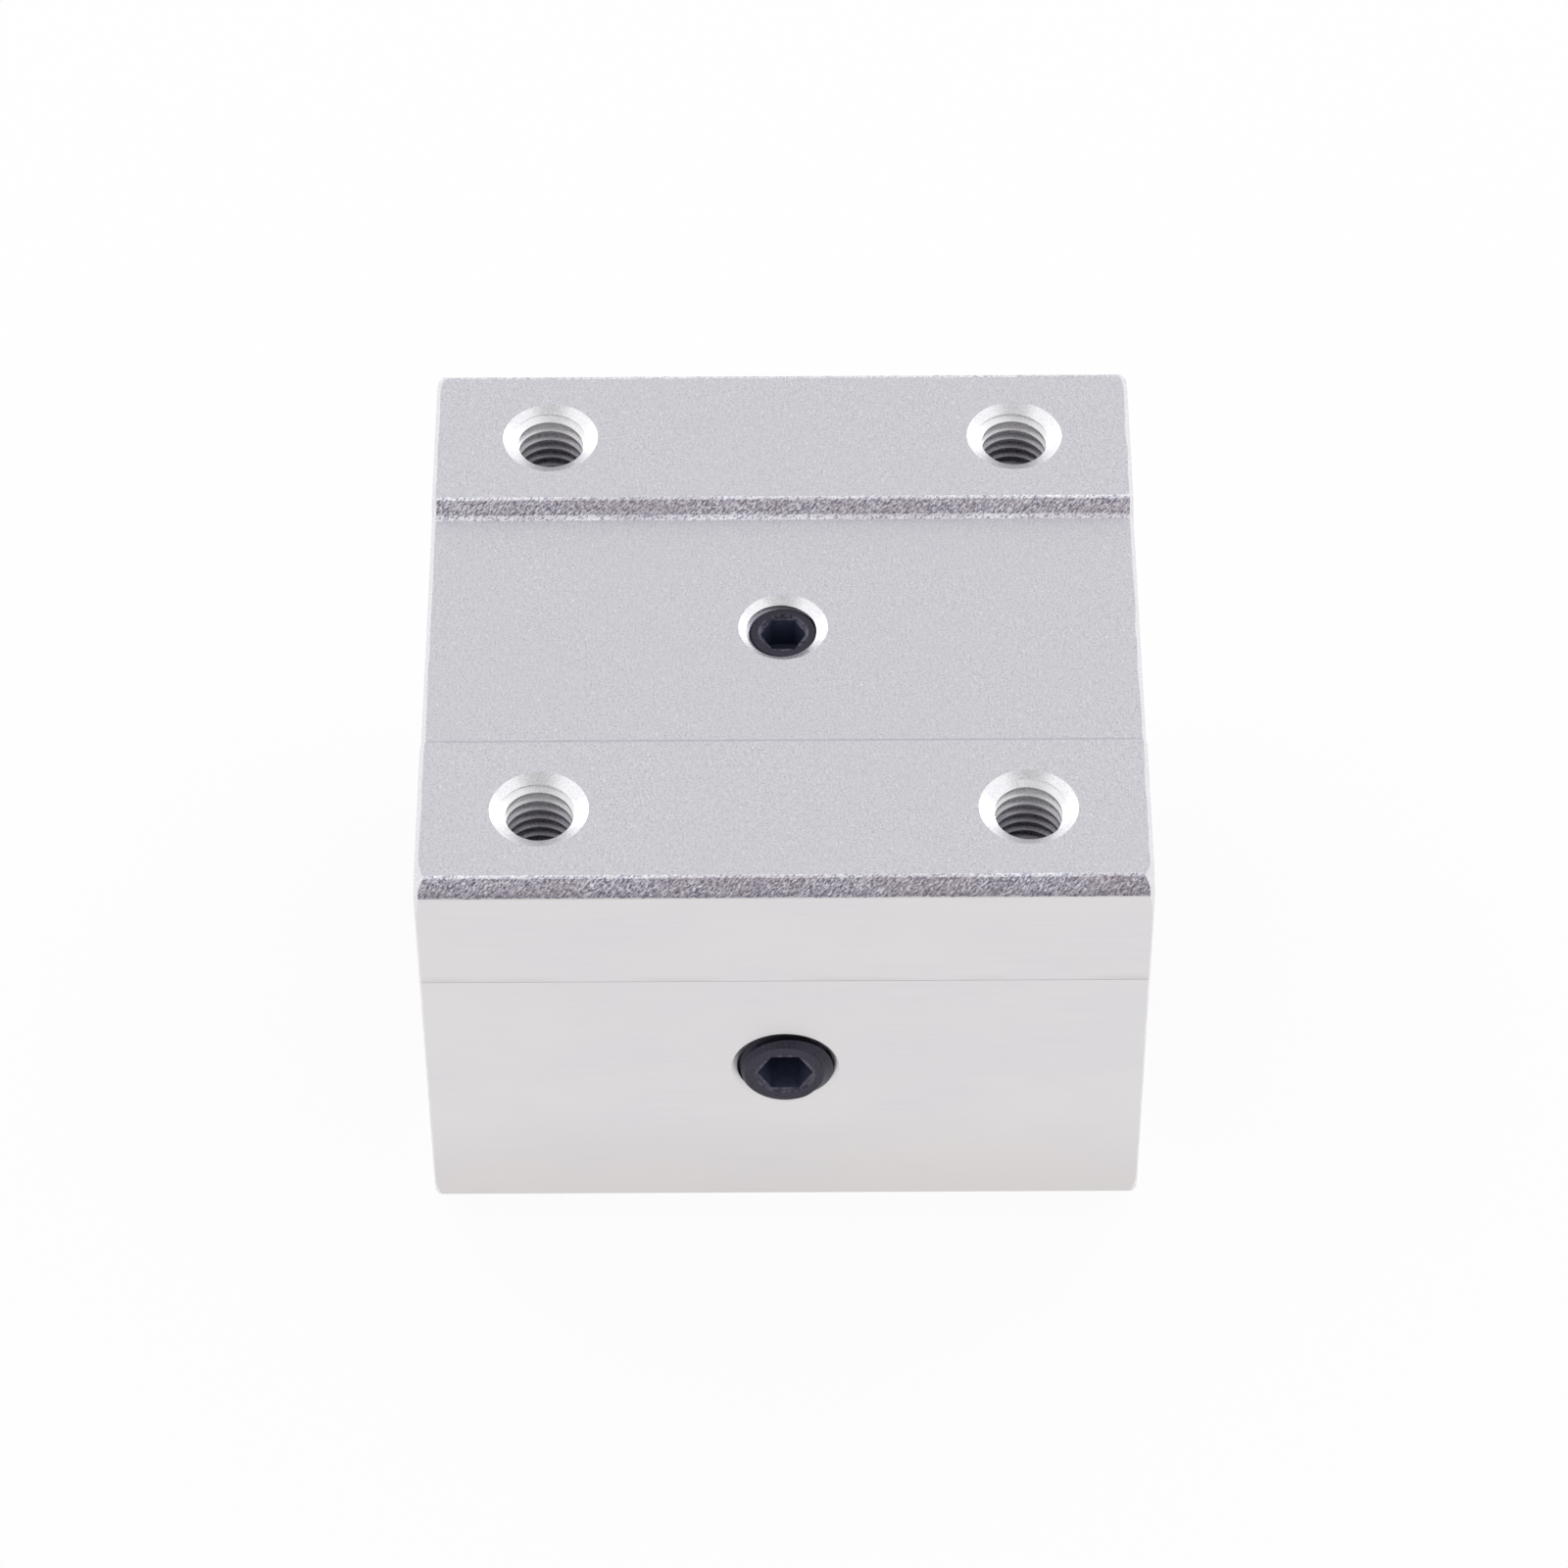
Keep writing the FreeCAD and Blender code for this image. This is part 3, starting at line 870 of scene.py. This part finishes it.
# ---------------------------------------------------------------------------------------------------------
# The studio: a white sweep that glows under the block, a white sky with a darker patch high in front, a
# softbox behind on each side, and a long lens that looks down on the front.
# ---------------------------------------------------------------------------------------------------------

floor_size = 3.0
paper_glow = 0.93
sweep = bmesh.new()
bmesh.ops.create_grid(sweep, x_segments=8, y_segments=8, size=floor_size)
floor_mesh = bpy.data.meshes.new("studio_floor")
sweep.to_mesh(floor_mesh)
sweep.free()

paper = bpy.data.materials.new("white_paper")
paper.use_nodes = True
paper_surface = paper.node_tree.nodes["Principled BSDF"]
paper_surface.inputs["Base Color"].default_value = linear("#F6F6F6")
paper_surface.inputs["Roughness"].default_value = 0.9
seen = add_node(paper, "ShaderNodeLightPath").outputs
glow = add_node(paper, "ShaderNodeEmission", {"Color": linear("#FFFFFF"), "Strength": 1.0})
direct = add_node(paper, "ShaderNodeMath", {
    0: seen["Is Camera Ray"], 1: seen["Is Glossy Ray"],
}, operation="MAXIMUM")
share = add_node(paper, "ShaderNodeMath", {0: direct.outputs[0], 1: paper_glow}, operation="MULTIPLY")
lit = add_node(paper, "ShaderNodeMixShader", {
    0: share.outputs[0], 1: paper_surface.outputs["BSDF"], 2: glow.outputs["Emission"],
})
paper_output = paper.node_tree.nodes["Material Output"]
paper.node_tree.links.new(lit.outputs[0], paper_output.inputs["Surface"])
new_piece("studio_floor", floor_mesh, [paper])

hood_direction = (0, -0.58, 0.81)
hood_edge = math.cos(math.radians(40))
hood_core = math.cos(math.radians(12))
hood_level = 0.38
world = bpy.data.worlds.new("studio")
bpy.context.scene.world = world
world.use_nodes = True
sky = world.node_tree.nodes["Background"]
sky.inputs["Color"].default_value = linear("#FFFFFF")
towards = add_node(world, "ShaderNodeTexCoord").outputs["Generated"]
hood = add_node(world, "ShaderNodeVectorMath", {0: towards, 1: hood_direction}, operation="DOT_PRODUCT")
shaded = spread(world, hood.outputs["Value"], hood_edge, hood_core, 1.0, hood_level)
sky_seen = add_node(world, "ShaderNodeLightPath").outputs["Is Camera Ray"]
level = add_node(world, "ShaderNodeMix", {"Factor": sky_seen, "A": shaded, "B": 1.0})
world.node_tree.links.new(level.outputs["Result"], sky.inputs["Strength"])


def soft_light(name, place, aim, size, power):
    """A square softbox that faces a point."""
    lamp = bpy.data.lights.new(name, "AREA")
    lamp.shape = "SQUARE"
    lamp.size = size
    lamp.energy = power
    light = bpy.data.objects.new(name, lamp)
    bpy.context.scene.collection.objects.link(light)
    light.location = place
    light.rotation_euler = (Vector(aim) - Vector(place)).to_track_quat("-Z", "Y").to_euler()


middle = (0, 0, block_high.z / 2)
soft_light("left_softbox", (-0.39, 0.4, 0.24), middle, 0.24, 0.45)
soft_light("right_softbox", (0.39, 0.4, 0.24), middle, 0.24, 0.45)

view_elevation = math.radians(48.4)
view_azimuth = math.radians(0.08)
view_roll = math.radians(-0.335)
view_distance = 396 * mm
aim = Vector((0, -1.8 * mm, 19.2 * mm))
back = Vector((
    math.sin(view_azimuth) * math.cos(view_elevation),
    -math.cos(view_azimuth) * math.cos(view_elevation),
    math.sin(view_elevation),
))
lens = bpy.data.cameras.new("studio_camera")
lens.sensor_width = 36.0
lens.lens = 141.1
camera = bpy.data.objects.new("studio_camera", lens)
bpy.context.scene.collection.objects.link(camera)
turn = (-back).to_track_quat("-Z", "Y").to_matrix().to_4x4()
stand = Matrix.Translation(aim + back * view_distance)
camera.matrix_world = stand @ turn @ Matrix.Rotation(view_roll, 4, "Z")
bpy.context.scene.camera = camera
bpy.context.scene.view_settings.view_transform = "Standard"
